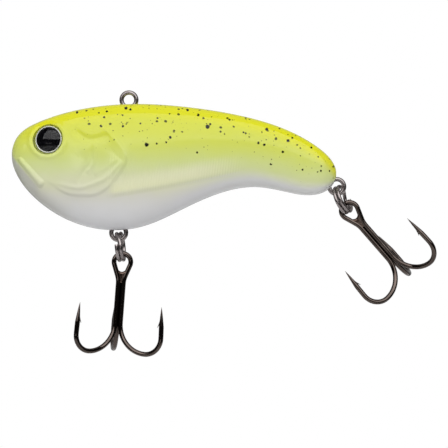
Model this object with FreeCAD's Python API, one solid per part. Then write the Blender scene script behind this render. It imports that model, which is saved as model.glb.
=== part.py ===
import FreeCAD, Part
import math
import os

# A lipless crankbait: two welded shell halves, three wire forms, ballast and rattle balls,
# moulded eyes, and two treble hooks on split rings. Millimetres.
# +X runs to the tail, +Z up, -Y is the lure's left side. The origin is the centre of the line tie's eye.

# ---- driving dimensions -------------------------------------------------------------------------

# the body's outline in the XZ plane, and its half width along X
NOSE = (-23.75, -11.2)
TAIL = (42.1, -14.6)
BACK = [(-22.5, -7.4), (-18.0, -4.4), (-9.8, -1.95), (0.0, -0.87), (10.5, -1.33),
        (20.6, -2.8), (30.8, -5.6), (38.5, -9.75), (41.4, -12.7)]
BELLY = [(-22.5, -15.6), (-18.0, -20.85), (-11.5, -24.75), (-4.5, -26.4), (2.4, -25.8), (10.5, -22.4),
         (18.6, -18.9), (25.5, -17.7), (32.0, -18.7), (36.7, -19.35), (40.0, -18.5), (41.7, -16.7)]
HALF_WIDTH = [(-23.0, 2.3), (-20.5, 3.8), (-16.0, 4.9), (-9.0, 5.8), (-2.0, 6.0), (8.0, 5.5),
              (18.0, 4.6), (28.0, 3.6), (36.0, 2.9), (40.6, 2.0)]
SECTION_POWER = 2.5      # superellipse power of the body's cross section
STATIONS = 26            # cross sections from nose to tail
SECTION_POINTS = 20      # points down one side of a cross section
WALL = 1.5               # the shell's nominal wall

# wire forms
WIRE_R = 0.465
EYE_R = 1.485            # wire centreline radius of the outer eye
EYE_BORE_R = 1.05        # the eye's coined bore
ANCHOR_R = 1.6           # wire centreline radius of the loop inside the body
WAIST_R = 1.0            # bend radius on each side of the waist
WAIST_GAP = 0.55         # wire centreline to the form's middle line at the waist
GROOVE_PLAY = 0.04
LAND_R = 3.0             # moulded land round each anchor loop

# each wire form: eye centre (x, z) and the direction from the eye into the body, degrees from +X to +Z
LINE_TIE = ((0.0, 0.0), -90.0)
BELLY_HANGER = ((-2.09, -26.95), 90.0)
TAIL_HANGER = ((42.2, -17.6), 158.0)

# split rings
RING_R = 2.7             # coil centreline radius
RING_WIRE_R = 0.38
RING_COIL_OFFSET = 0.4
RING_LINK_HALF_ANGLE = 33.0

# treble hooks, measured from the centre of the eye along the shank and out from it
HOOK_WIRE_R = 0.5
HOOK_EYE_R = 1.7
HOOK_THROAT = 3.55       # where the two wires of the eye close up
HOOK_EYE_FLOOR = 1.85    # where the braze closes the eye
HOOK_SHANK_OUT = 0.6     # each wire's centre from the shank's middle line
HOOK_BEND_START = 12.4
HOOK_BEND_R = 5.8        # the wide part of the bend, next to the shank
HOOK_TURN_R = 3.4        # the tighter part, which turns up into the spear
HOOK_TAPER_START = 12.4
HOOK_BARB_AT = 12.6
HOOK_BARB_LENGTH = 2.1
HOOK_BARB_OUT = 0.57
HOOK_BARB_ROOT_IN = 0.3   # how far the barb's root starts inside the spear
HOOK_BARB_ROOT_R = 0.22
HOOK_BARB_TIP_R = 0.04
HOOK_POINT_AT = 8.4
HOOK_POINT_IN = 0.35     # how far the point leans in towards the shank
HOOK_POINT_TIP_R = 0.04
HOOK_THIRD_START = 2.7
BRAZE_HORNS = 1.55       # where the braze's two upper corners lie against the legs
BRAZE_END = 3.3
BRAZE_HALF_THICK = 0.38
BRAZE_PLAY = 0.01

# how the rings and hooks hang: the hanger they hang from, the ring's lean (its direction from hanger
# to hook), its twist about that line and the place of its crossover (0 is the lure's left side, 90 the
# hook's end), the distance and direction from the middle of the ring's two coils to the hook's eye
# centre, the shank's direction, and the hook's turn about its shank
BELLY_SET = dict(hanger=BELLY_HANGER, lean=-84.0, twist=3.0, crossover=-45.0, seat=(0.42, -66.0),
                 shank=-94.3, turn=-8.5)
TAIL_SET = dict(hanger=TAIL_HANGER, lean=-65.0, twist=22.0, crossover=200.0, seat=(0.3, 35.0),
                shank=-48.9, turn=10.6)
RING_SEAT = 0.2          # from the hanger's eye centre to the middle of the ring's two coils

# eyes: centre (x, z), the direction they look in (y counts outwards), and their sizes
EYE_CENTRE = (-16.0, -8.18)
EYE_LOOK = (-0.22, 1.0, 0.16)
EYE_SEAT_R = 3.15
EYE_SEAT_DEPTH = 1.0
EYE_FOIL_R = 2.85
EYE_FOIL_THICK = 0.2
EYE_PUPIL_R = 2.3
EYE_PUPIL_THICK = 0.15
EYE_DOME_R = 3.05
EYE_DOME_RISE = 0.95
EYE_DOME_RIM_HEIGHT = 0.55    # from the seat's floor to the dome's rim

# chambers for the balls: start (x, z), slope in degrees, length, bore and outer radii
KNOCKER_CHAMBER = ((-8.0, -13.0), 5.0, 17.4, 3.25, 4.1)
KNOCKER_R = 3.0
RATTLE_CHANNEL = ((13.0, -12.6), 5.0, 15.4, 1.45, 2.25)
RATTLE_R = 1.2
RATTLE_COUNT = 3
BALL_PLAY = 0.08
BULKHEAD = 1.0

# lead keel ballast and the fences that hold it
BALLAST = [(-15.9, -17.2), (-6.4, -17.2), (-6.4, -23.6), (-9.5, -23.0), (-13.6, -20.9), (-15.9, -18.9)]
BALLAST_HALF_WIDTH = 2.5
BALLAST_ROUND = 0.6
FENCE = 0.9
FENCE_PLAY = 0.05

# weld pegs in the left shell and their sockets in the right one
PEGS = [(-19.0, -14.0), (-10.6, -5.4), (11.2, -5.0), (20.5, -6.2), (17.0, -16.6), (34.2, -9.6)]
PEG_R = 0.7
PEG_LENGTH = 1.4
PEG_BOSS_R = 1.5
SOCKET_PLAY = 0.04
SOCKET_EXTRA_DEPTH = 0.2

LEFT = -1
RIGHT = 1
FAR = 100.0
Y_AXIS = FreeCAD.Vector(0, 1, 0)
os.makedirs("parts", exist_ok=True)


# ---- small helpers ------------------------------------------------------------------------------

def vec(x, y, z):
    return FreeCAD.Vector(x, y, z)


def flat_dir(degrees):
    """A direction in the XZ plane, counted from +X towards +Z."""
    angle = math.radians(degrees)
    return vec(math.cos(angle), 0, math.sin(angle))


def at_xz(point, y=0.0):
    return vec(point[0], y, point[1])


def save(shape, node):
    shape.exportStep("parts/" + node + ".step")
    print(node, "valid" if shape.isValid() else "NOT VALID", "solids", len(shape.Solids),
          "volume", round(shape.Volume, 2))


def fused(shapes):
    first = shapes[0]
    if len(shapes) > 1:
        first = first.multiFuse(shapes[1:])
    return first.removeSplitter()


class Outline:
    """A smooth closed curve from the nose through the upper points to the tail, and back through
    the lower points. It gives the upper or lower value over x."""

    def __init__(self, nose, upper, tail, lower):
        points = [nose] + upper + [tail] + lower[::-1]
        self.curve = Part.BSplineCurve()
        self.curve.interpolate(Points=[vec(p[0], p[1], 0) for p in points], PeriodicFlag=True)
        self.tail_at = self.curve.parameter(vec(tail[0], tail[1], 0))

    def upper(self, x):
        return self._value(x, self.curve.FirstParameter)

    def lower(self, x):
        return self._value(x, self.curve.LastParameter)

    def _value(self, x, nose_at):
        """By halving, because x only grows from the nose to the tail on each side."""
        before = nose_at
        after = self.tail_at
        for _ in range(50):
            middle = (before + after) / 2
            if self.curve.value(middle).x < x:
                before = middle
            else:
                after = middle
        return self.curve.value(before).y


# ---- the body -----------------------------------------------------------------------------------

PROFILE = Outline(NOSE, BACK, TAIL, BELLY)
PLAN = Outline((NOSE[0], 0.0), HALF_WIDTH, (TAIL[0], 0.0), [(x, -y) for x, y in HALF_WIDTH])


def thinned(size, wall):
    """A half size less the wall, which thins where the body does."""
    return size * size / (size + wall)


def section(x, wall):
    """Centre height, half height and half width of the body's cross section at x."""
    top = PROFILE.upper(x)
    bottom = PROFILE.lower(x)
    width = PLAN.upper(x)
    return (top + bottom) / 2, thinned((top - bottom) / 2, wall), thinned(width, wall)


def section_poles(x_row, side, centre, half_height, half_width):
    """Poles down one side of a superellipse, level at the two seams."""
    row = []
    for j in range(SECTION_POINTS + 1):
        angle = math.pi * (0.5 - j / SECTION_POINTS)
        across = abs(math.cos(angle)) ** (2 / SECTION_POWER)
        up = math.copysign(abs(math.sin(angle)) ** (2 / SECTION_POWER), angle)
        if j in (0, SECTION_POINTS):
            across = 0.0
        if j in (1, SECTION_POINTS - 1):
            up = math.copysign(1.0, angle)
        row.append(vec(x_row, side * half_width * across, centre + half_height * up))
    return row


def raised(poles):
    """Poles moved outwards by a sixth of their bend, so that the surface meets the given points."""
    ends = [poles[0], poles[1]]
    inner = [p - (before - p * 2 + after) * (1 / 6)
             for before, p, after in zip(poles[1:], poles[2:-2], poles[3:])]
    return ends + inner + [poles[-2], poles[-1]]


def body_half(side, wall=0.0):
    """One half of the body as a closed solid, or of the space inside its wall."""
    length = TAIL[0] - NOSE[0]
    middle = (TAIL[0] + NOSE[0]) / 2
    shrink = 1 - 2 * wall / length
    rows = []
    for i in range(STATIONS + 1):
        x = middle - length / 2 * math.cos(math.pi * i / STATIONS)
        # the rows beside the tips lie in the tips' own planes, which rounds the ends
        x_end = {0: NOSE[0], 1: NOSE[0], STATIONS - 1: TAIL[0], STATIONS: TAIL[0]}.get(i, x)
        x_row = middle + (x_end - middle) * shrink
        if i in (0, STATIONS):
            end_z = NOSE[1] if i == 0 else TAIL[1]
            rows.append([vec(x_row, 0, end_z)] * (SECTION_POINTS + 1))
        else:
            rows.append(raised(section_poles(x_row, side, *section(x, wall))))
    columns = [raised(list(column)) for column in zip(*rows)]
    poles = [list(row) for row in zip(*columns)]
    surface = Part.BSplineSurface()
    u_knots = list(range(STATIONS - 1))
    v_knots = list(range(SECTION_POINTS - 1))
    surface.buildFromPolesMultsKnots(
        poles, [4] + [1] * (STATIONS - 3) + [4], [4] + [1] * (SECTION_POINTS - 3) + [4],
        u_knots, v_knots, False, False, 3, 3)
    skin = surface.toShape()
    seam = [e for e in skin.Edges if not e.Degenerated and abs(e.CenterOfMass.y) < 1e-4]
    middle_face = Part.Face(Part.Wire(Part.__sortEdges__(seam)))
    closed = Part.makeShell([skin, middle_face])
    closed.sewShape()
    solid = Part.makeSolid(closed)
    if solid.Volume < 0:
        solid.reverse()
    return solid


# ---- wire forms ---------------------------------------------------------------------------------

def wire_form(eye, into, radius):
    """A closed peanut of round wire: an eye, a waist and an anchor loop, all tangent arcs.
    Returns the solid and the anchor loop's centre."""
    reach = WAIST_GAP + WAIST_R
    eye_to_waist = math.sqrt((EYE_R + WAIST_R) ** 2 - reach ** 2)
    waist_to_anchor = math.sqrt((ANCHOR_R + WAIST_R) ** 2 - reach ** 2)
    along = flat_dir(into)
    across = flat_dir(into + 90)
    eye_centre = at_xz(eye)
    anchor_centre = eye_centre + along * (eye_to_waist + waist_to_anchor)

    def touch(centre, circle_r, waist_centre):
        return centre + (waist_centre - centre).normalize() * circle_r

    waists = [eye_centre + along * eye_to_waist + across * (s * reach) for s in (1, -1)]
    eye_ends = [touch(eye_centre, EYE_R, w) for w in waists]
    anchor_ends = [touch(anchor_centre, ANCHOR_R, w) for w in waists]
    waist_mids = [w + across * (-s * WAIST_R) for w, s in zip(waists, (1, -1))]
    path = Part.Wire([
        Part.Arc(eye_ends[0], eye_centre - along * EYE_R, eye_ends[1]).toShape(),
        Part.Arc(eye_ends[1], waist_mids[1], anchor_ends[1]).toShape(),
        Part.Arc(anchor_ends[1], anchor_centre + along * ANCHOR_R, anchor_ends[0]).toShape(),
        Part.Arc(anchor_ends[0], waist_mids[0], eye_ends[0]).toShape(),
    ])
    return swept_wire(path, radius), anchor_centre


def swept_wire(path, radius):
    """Round wire along a path of tangent lines and arcs."""
    first = path.OrderedEdges[0]
    tangent = first.tangentAt(first.FirstParameter)
    start = first.valueAt(first.FirstParameter)
    ring = Part.Wire(Part.makeCircle(radius, start, tangent))
    return path.makePipeShell([ring], True, False)


def coined(form, eye):
    """The wire form with its eye's bore pressed to a short cylindrical land."""
    start = at_xz(eye) - Y_AXIS * (2 * WIRE_R)
    return form.cut(Part.makeCylinder(EYE_BORE_R, 4 * WIRE_R, start, Y_AXIS))


# ---- split rings --------------------------------------------------------------------------------

def split_ring(centre, lean, twist, crossover):
    """Two flat coils of one wire with a crossover between them. lean is the direction from the
    hanger's end of the ring to the hook's end, twist turns the ring about that line."""
    start = RING_LINK_HALF_ANGLE

    def on_coil(degrees, offset):
        angle = math.radians(degrees)
        return vec(RING_R * math.cos(angle), RING_R * math.sin(angle), offset)

    a = -RING_COIL_OFFSET
    b = RING_COIL_OFFSET
    path = Part.Wire([
        Part.Arc(on_coil(start, a), on_coil(180, a), on_coil(360 - start, a)).toShape(),
        Part.Arc(on_coil(-start, a), on_coil(0, 0), on_coil(start, b)).toShape(),
        Part.Arc(on_coil(start, b), on_coil(180, b), on_coil(360 - start, b)).toShape(),
    ])
    coils = [swept_wire(Part.Wire(edge), RING_WIRE_R) for edge in path.Edges]
    knees = [Part.makeSphere(RING_WIRE_R, on_coil(-start, a)),
             Part.makeSphere(RING_WIRE_R, on_coil(start, b))]
    ring = fused(coils + knees)
    ring.rotate(vec(0, 0, 0), vec(0, 0, 1), crossover)
    # the ring's flat plane is XY here: its normal becomes the line across the lean, in the XZ plane
    along = flat_dir(lean)
    across = flat_dir(lean + 90)
    turn = FreeCAD.Rotation(Y_AXIS, along, across, "ZYX")
    ring.Placement = FreeCAD.Placement(vec(0, 0, 0), turn).multiply(ring.Placement)
    ring.rotate(vec(0, 0, 0), along, twist)
    ring.translate(centre)
    return ring


# ---- treble hooks -------------------------------------------------------------------------------

def hook_lower(azimuth, out):
    """Bend, spear, barb and point of one hook. The shank runs along +X and the hook opens towards
    azimuth in the YZ plane. out is where its shank wire runs."""
    side = vec(0, math.cos(math.radians(azimuth)), math.sin(math.radians(azimuth)))

    def place(along, radial):
        return vec(along, 0, 0) + side * radial

    middle = out + HOOK_BEND_R
    bend_end = HOOK_BEND_START + HOOK_BEND_R - HOOK_TURN_R

    def on_arc(centre_along, radius, degrees):
        angle = math.radians(degrees)
        return place(centre_along + radius * math.cos(angle), middle + radius * math.sin(angle))

    far = middle + HOOK_TURN_R
    point = place(HOOK_POINT_AT, far - HOOK_POINT_IN)
    # the tight arc ends where a line to the point leaves it
    reach = math.hypot(bend_end - HOOK_POINT_AT, far - HOOK_POINT_IN - middle)
    leave = 180 - math.degrees(math.atan2(far - HOOK_POINT_IN - middle, bend_end - HOOK_POINT_AT)
                               + math.acos(HOOK_TURN_R / reach))
    wide = Part.Arc(on_arc(HOOK_BEND_START, HOOK_BEND_R, -90), on_arc(HOOK_BEND_START, HOOK_BEND_R, -45),
                    on_arc(HOOK_BEND_START, HOOK_BEND_R, 0)).toShape()
    tight = Part.Arc(on_arc(bend_end, HOOK_TURN_R, 0), on_arc(bend_end, HOOK_TURN_R, leave / 2),
                     on_arc(bend_end, HOOK_TURN_R, leave)).toShape()
    spear_start = on_arc(bend_end, HOOK_TURN_R, leave)
    line = point - spear_start
    taper_length = (HOOK_TAPER_START - HOOK_POINT_AT) / abs(line.x) * line.Length
    taper = point - line * (taper_length / line.Length)
    solids = [swept_wire(Part.Wire(arc), HOOK_WIRE_R) for arc in (wide, tight)]
    solids.append(Part.makeCylinder(HOOK_WIRE_R, (taper - spear_start).Length, spear_start, line))
    solids.append(Part.makeCone(HOOK_WIRE_R, HOOK_POINT_TIP_R, taper_length, taper, line))
    barb_root = place(HOOK_BARB_AT - HOOK_BARB_LENGTH, far - HOOK_BARB_ROOT_IN)
    barb_tip = place(HOOK_BARB_AT, far - HOOK_WIRE_R - HOOK_BARB_OUT)
    barb_line = barb_tip - barb_root
    solids.append(Part.makeCone(HOOK_BARB_ROOT_R, HOOK_BARB_TIP_R, barb_line.Length, barb_root, barb_line))
    return solids


# the eye and its two legs lie this far below the shank's middle line
EYE_DROP = -HOOK_SHANK_OUT * math.sin(math.radians(30))


def eye_legs():
    """The straights from the eye's arc to the throat, one on each side: each starts where it
    touches the arc and ends where it meets its shank."""
    spread = HOOK_SHANK_OUT * math.cos(math.radians(30))
    reach = math.hypot(HOOK_THROAT, spread)
    lean = math.asin(HOOK_EYE_R / reach) - math.atan2(spread, HOOK_THROAT)
    legs = []
    for s in (1, -1):
        touch = vec(HOOK_EYE_R * math.sin(lean), s * HOOK_EYE_R * math.cos(lean), EYE_DROP)
        legs.append((touch, vec(HOOK_THROAT, s * spread, EYE_DROP)))
    return legs


def double_hook():
    """One wire: two hooks, their shanks side by side, and the eye between them. The eye lies flat
    across Y; the hooks open 60 degrees either side of -Z."""
    pieces = []
    legs = eye_legs()
    for s, (touch, throat) in zip((1, -1), legs):
        leg = throat - touch
        pieces.append(Part.makeCylinder(HOOK_WIRE_R, leg.Length, touch, leg))
        pieces.append(Part.makeSphere(HOOK_WIRE_R, throat))
        pieces.append(Part.makeCylinder(HOOK_WIRE_R, HOOK_BEND_START - HOOK_THROAT, throat, vec(1, 0, 0)))
        pieces += hook_lower(-90 + s * 60, HOOK_SHANK_OUT)
    eye = Part.Arc(legs[0][0], vec(-HOOK_EYE_R, 0, EYE_DROP), legs[1][0]).toShape()
    pieces.append(swept_wire(Part.Wire(eye), HOOK_WIRE_R))
    return fused(pieces)


def third_hook():
    start = vec(HOOK_THIRD_START, 0, HOOK_SHANK_OUT)
    shank = Part.makeCylinder(HOOK_WIRE_R, HOOK_BEND_START - HOOK_THIRD_START, start, vec(1, 0, 0))
    return fused([shank, Part.makeSphere(HOOK_WIRE_R, start)] + hook_lower(90, HOOK_SHANK_OUT))


def leg_inner_y(touch, throat, x):
    """Y of a line beside a leg's inner side, the braze's play away from it, at x."""
    leg = throat - touch
    gap = (HOOK_WIRE_R + BRAZE_PLAY) * leg.Length / leg.x
    return touch.y + leg.y / leg.x * (x - touch.x) - math.copysign(gap, touch.y)


def hook_braze():
    """The web of braze that closes the eye's throat between its legs, hollow at its upper edge."""
    z = EYE_DROP - BRAZE_HALF_THICK
    horns = [vec(BRAZE_HORNS, leg_inner_y(touch, throat, BRAZE_HORNS), z) for touch, throat in eye_legs()]
    feet = [vec(BRAZE_END, leg_inner_y(touch, throat, BRAZE_END), z) for touch, throat in eye_legs()]
    outline = Part.Wire([
        Part.Arc(horns[0], vec(HOOK_EYE_FLOOR, 0, z), horns[1]).toShape(),
        Part.makeLine(horns[1], feet[1]),
        Part.makeLine(feet[1], feet[0]),
        Part.makeLine(feet[0], horns[0]),
    ])
    return Part.Face(outline).extrude(vec(0, 0, 2 * BRAZE_HALF_THICK))


def placed_hook(shape, eye, shank, turn):
    """The hook turned about its shank, laid along the shank direction and moved to its eye. The
    hook's -Z side, where the two hooks open, comes to face the lure's left."""
    shape = shape.copy()
    along = flat_dir(shank)
    shape.translate(vec(0, 0, -EYE_DROP))
    shape.rotate(vec(0, 0, 0), vec(1, 0, 0), turn)
    frame = FreeCAD.Rotation(along, vec(0, 0, 0), Y_AXIS, "XZY")
    shape.Placement = FreeCAD.Placement(eye, frame).multiply(shape.Placement)
    return shape


# ---- eyes ---------------------------------------------------------------------------------------

def eye_axis(side):
    """A point on the shell's skin under the eye's centre, and the direction the eye looks in."""
    look = vec(EYE_LOOK[0], side * EYE_LOOK[1], EYE_LOOK[2]).normalize()
    centre, half_height, half_width = section(EYE_CENTRE[0], 0.0)
    up = abs(EYE_CENTRE[1] - centre) / half_height
    across = half_width * (1 - up ** SECTION_POWER) ** (1 / SECTION_POWER)
    return at_xz(EYE_CENTRE, side * across), look


def eye_seat(side):
    skin, look = eye_axis(side)
    floor = skin - look * EYE_SEAT_DEPTH
    return Part.makeCylinder(EYE_SEAT_R, FAR, floor, look)


def eye_pieces(side):
    """Foil disc, pupil disc and clear dome, stacked from the floor of the seat."""
    skin, look = eye_axis(side)
    floor = skin - look * EYE_SEAT_DEPTH
    foil = Part.makeCylinder(EYE_FOIL_R, EYE_FOIL_THICK, floor, look)
    pupil_floor = floor + look * EYE_FOIL_THICK
    pupil = Part.makeCylinder(EYE_PUPIL_R, EYE_PUPIL_THICK, pupil_floor, look)
    dome_height = EYE_SEAT_DEPTH + EYE_DOME_RISE
    # a sphere through the dome's rim and its crown
    rise = dome_height - EYE_DOME_RIM_HEIGHT
    ball_r = (EYE_DOME_R ** 2 + rise ** 2) / (2 * rise)
    ball = Part.makeSphere(ball_r, floor + look * (dome_height - ball_r))
    column = Part.makeCylinder(EYE_DOME_R, FAR, floor, look)
    dome = column.common(ball).cut(foil).cut(pupil)
    return foil, pupil, max(dome.Solids, key=lambda s: s.Volume)


# ---- inside the body ----------------------------------------------------------------------------

def chamber_axis(chamber):
    start, slope, length, bore_r, outer_r = chamber
    return at_xz(start), flat_dir(slope), length, bore_r, outer_r


def plate_across(x, low_z=-FAR, high_z=FAR, thick=BULKHEAD):
    return Part.makeBox(thick, 2 * FAR, high_z - low_z, vec(x, -FAR, low_z))


def inner_features():
    """Bulkheads, chamber tubes, ballast fences, wire lands and peg bosses, before they are trimmed."""
    features = []
    xs = [p[0] for p in BALLAST]
    roof = max(p[1] for p in BALLAST) + FENCE_PLAY
    for chamber, low_z in ((KNOCKER_CHAMBER, roof), (RATTLE_CHANNEL, -FAR)):
        start, along, length, _, outer_r = chamber_axis(chamber)
        end = start + along * length
        features.append(plate_across(start.x - BULKHEAD, low_z=low_z))
        features.append(plate_across(end.x))
        features.append(Part.makeCylinder(outer_r, length + BULKHEAD, start - along * (BULKHEAD / 2), along))
    features.append(plate_across(min(xs) - FENCE_PLAY - FENCE, high_z=roof + FENCE, thick=FENCE))
    features.append(plate_across(max(xs) + FENCE_PLAY, high_z=roof + FENCE, thick=FENCE))
    roof_length = max(xs) - min(xs) + 2 * FENCE_PLAY + 2 * FENCE
    features.append(Part.makeBox(roof_length, 2 * FAR, FENCE, vec(min(xs) - FENCE_PLAY - FENCE, -FAR, roof)))
    for eye, into in (LINE_TIE, BELLY_HANGER, TAIL_HANGER):
        _, anchor = wire_form(eye, into, WIRE_R)
        features.append(Part.makeCylinder(LAND_R, 2 * FAR, anchor - Y_AXIS * FAR, Y_AXIS))
    for peg in PEGS:
        features.append(Part.makeCylinder(PEG_BOSS_R, 2 * FAR, at_xz(peg, -FAR), Y_AXIS))
    return features


def hollows():
    """The bores of the chambers and the grooves for the wire forms."""
    spaces = []
    for chamber in (KNOCKER_CHAMBER, RATTLE_CHANNEL):
        start, along, length, bore_r, _ = chamber_axis(chamber)
        spaces.append(Part.makeCylinder(bore_r, length, start, along))
    for eye, into in (LINE_TIE, BELLY_HANGER, TAIL_HANGER):
        spaces.append(wire_form(eye, into, WIRE_R + GROOVE_PLAY)[0])
    return spaces


def shell(side):
    """One moulded half, with everything that is moulded into it."""
    outer = body_half(side)
    inner = body_half(side, WALL)
    trim = body_half(side, WALL / 2)
    features = Part.makeCompound(inner_features())
    inside = fused(features.Solids).common(trim)
    half = outer.cut(inner).fuse(inside)
    for space in hollows():
        half = half.cut(space)
    half = half.cut(eye_seat(side))
    for peg in PEGS:
        if side == LEFT:
            half = half.fuse(Part.makeCylinder(PEG_R, 2 * PEG_LENGTH, at_xz(peg, -PEG_LENGTH), Y_AXIS))
        else:
            bore = Part.makeCylinder(PEG_R + SOCKET_PLAY, PEG_LENGTH + SOCKET_EXTRA_DEPTH, at_xz(peg), Y_AXIS)
            half = half.cut(bore)
    half = half.removeSplitter()
    return max(half.Solids, key=lambda s: s.Volume)


def ballast():
    outline = [at_xz(p, -BALLAST_HALF_WIDTH) for p in BALLAST]
    face = Part.Face(Part.makePolygon(outline + [outline[0]]))
    block = face.extrude(Y_AXIS * (2 * BALLAST_HALF_WIDTH))
    return block.makeFillet(BALLAST_ROUND, block.Edges)


def ball_in(chamber, radius, place):
    """A ball resting on the chamber's floor, its centre at place along the axis."""
    start, along, _, bore_r, _ = chamber_axis(chamber)
    return Part.makeSphere(radius, start + along * place)


# ---- the nodes ----------------------------------------------------------------------------------

for side_name, side in (("left", LEFT), ("right", RIGHT)):
    save(shell(side), side_name + "_shell")
    foil, pupil, dome = eye_pieces(side)
    save(foil, side_name + "_eye_foil")
    save(pupil, side_name + "_eye_pupil")
    save(dome, side_name + "_eye_dome")

wire_forms = (("line_tie", LINE_TIE), ("belly_hanger", BELLY_HANGER), ("tail_hanger", TAIL_HANGER))
for node, (eye, into) in wire_forms:
    save(coined(wire_form(eye, into, WIRE_R)[0], eye), node)

save(ballast(), "keel_ballast")
save(ball_in(KNOCKER_CHAMBER, KNOCKER_R, KNOCKER_R + BALL_PLAY), "knocker_ball")
for i in range(RATTLE_COUNT):
    place = RATTLE_R + BALL_PLAY + i * (2 * RATTLE_R + BALL_PLAY)
    save(ball_in(RATTLE_CHANNEL, RATTLE_R, place), "rattle_ball_" + str(i + 1))

treble = (("double_hook", double_hook()), ("third_hook", third_hook()), ("braze", hook_braze()))
for name, hang in (("belly", BELLY_SET), ("tail", TAIL_SET)):
    along = flat_dir(hang["lean"])
    ring_centre = at_xz(hang["hanger"][0]) + along * (RING_SEAT + RING_R)
    distance, direction = hang["seat"]
    hook_eye = ring_centre + along * RING_R + flat_dir(direction) * distance
    save(split_ring(ring_centre, hang["lean"], hang["twist"], hang["crossover"]), name + "_split_ring")
    for piece, shape in treble:
        save(placed_hook(shape, hook_eye, hang["shank"], hang["turn"]), name + "_treble_" + piece)
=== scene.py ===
"""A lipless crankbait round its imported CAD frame: two painted shell halves with sculpted gill
covers, moulded eyes, wire eyes, split rings and black nickel treble hooks.

Metres, in the frame's own axes: +X runs to the tail, +Z up, and -Y is the lure's left side, which
faces the camera. The origin is the centre of the line tie's eye."""
import math

import bmesh
import bpy
import numpy as np
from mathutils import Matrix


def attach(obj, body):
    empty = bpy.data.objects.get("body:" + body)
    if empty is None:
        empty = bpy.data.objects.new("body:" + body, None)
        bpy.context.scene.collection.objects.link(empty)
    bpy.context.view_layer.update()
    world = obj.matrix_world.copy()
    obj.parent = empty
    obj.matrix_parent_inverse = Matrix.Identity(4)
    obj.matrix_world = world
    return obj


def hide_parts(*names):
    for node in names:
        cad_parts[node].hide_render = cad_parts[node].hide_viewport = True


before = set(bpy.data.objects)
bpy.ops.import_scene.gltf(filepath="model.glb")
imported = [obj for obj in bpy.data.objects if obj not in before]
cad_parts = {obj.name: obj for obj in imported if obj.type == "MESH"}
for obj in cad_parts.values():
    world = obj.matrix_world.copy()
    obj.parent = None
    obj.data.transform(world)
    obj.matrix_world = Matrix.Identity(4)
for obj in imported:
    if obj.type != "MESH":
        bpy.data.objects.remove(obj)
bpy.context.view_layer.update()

MM = 0.001

# ---- driving dimensions, as in the CAD ----

# the body's outline in the XZ plane and its half width along X, in millimetres
NOSE = (-23.75, -11.2)
TAIL = (42.1, -14.6)
BACK = [(-22.5, -7.4), (-18.0, -4.4), (-9.8, -1.95), (0.0, -0.87), (10.5, -1.33),
        (20.6, -2.8), (30.8, -5.6), (38.5, -9.75), (41.4, -12.7)]
BELLY = [(-22.5, -15.6), (-18.0, -20.85), (-11.5, -24.75), (-4.5, -26.4), (2.4, -25.8), (10.5, -22.4),
         (18.6, -18.9), (25.5, -17.7), (32.0, -18.7), (36.7, -19.35), (40.0, -18.5), (41.7, -16.7)]
HALF_WIDTH = [(-23.0, 2.3), (-20.5, 3.8), (-16.0, 4.9), (-9.0, 5.8), (-2.0, 6.0), (8.0, 5.5),
              (18.0, 4.6), (28.0, 3.6), (36.0, 2.9), (40.6, 2.0)]
SECTION_POWER = 2.5
WALL = 1.5

WIRE_R = 0.465
EYE_R = 1.485
EYE_BORE_R = 1.05
ANCHOR_R = 1.6
WAIST_R = 1.0
WAIST_GAP = 0.55
GROOVE_PLAY = 0.04

RING_R = 2.7
RING_WIRE_R = 0.38
RING_COIL_OFFSET = 0.4
RING_LINK_HALF_ANGLE = 33.0
RING_SEAT = 0.2
RING_END_R = 0.86 * RING_WIRE_R

HOOK_WIRE_R = 0.5
HOOK_EYE_R = 1.7
HOOK_THROAT = 3.55
HOOK_SHANK_OUT = 0.6
HOOK_BEND_START = 12.4
HOOK_BEND_R = 5.8
HOOK_TURN_R = 3.4
HOOK_TAPER_START = 12.4
HOOK_POINT_AT = 8.4
HOOK_POINT_IN = 0.35
HOOK_FAR = HOOK_SHANK_OUT + HOOK_BEND_R + HOOK_TURN_R
HOOK_BARB_ROOT = 10.5
HOOK_BARB_LENGTH = 2.1
# the barb's depth under the spear's middle line at its root, and what its curl adds; its thickness
HOOK_BARB_DEPTH = (0.26, 0.22, 0.50)
HOOK_BARB_THICK = (0.16, 0.30)
# the knee between shank and leg: how far below the throat it starts, and its share of the leg
HOOK_KNEE = (0.8, 0.25)
# the third hook's upper end: how far along it lies, and its wire's radius over its rounded tip
HOOK_THIRD_START = 2.7
HOOK_THIRD_TIP = [(-0.4, 0.16), (-0.25, 0.40), (0.0, 0.5)]
# the double hook's two shanks stand beside the treble's axis, and its eye lies between them
EYE_DROP = -HOOK_SHANK_OUT * math.sin(math.radians(30))
HOOK_SPREAD = HOOK_SHANK_OUT * math.cos(math.radians(30))
# the braze: its upper edge and how far that hollows, its lower end, its half thickness in the
# middle and what its sides add to it, and the shares of its height that its two ends round over
BRAZE_TOP = 2.0
BRAZE_HOLLOW = 0.95
BRAZE_BOTTOM = 4.4
BRAZE_MIDDLE = 0.33
BRAZE_SIDES = 0.13
BRAZE_ROUND = (0.15, 0.12)

EYE_CENTRE = (-16.0, -8.18)
EYE_LOOK = (-0.22, 1.0, 0.16)
EYE_SEAT_R = 3.15
EYE_SEAT_FILLET = 0.15
EYE_SEAT_DEPTH = 1.0
EYE_SEAT_CUT = 4.0
EYE_FOIL_SEEN_R = 2.56
EYE_FOIL_TOP = 0.2
EYE_FOIL_BEVEL = (0.06, 0.04)
EYE_PUPIL_R = 2.3
EYE_PUPIL_RISE = 0.15
EYE_DOME_R = 3.05
EYE_DOME_RISE = 0.95
EYE_DOME_RIM_HEIGHT = 0.55
EYE_DOME_SEAT = 0.03

# each wire form: eye centre (x, z) and the direction from the eye into the body
WIRE_FORMS = {
    "line_tie": ((0.0, 0.0), -90.0),
    "belly_hanger": ((-2.09, -26.95), 90.0),
    "tail_hanger": ((42.2, -17.6), 158.0),
}
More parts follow.
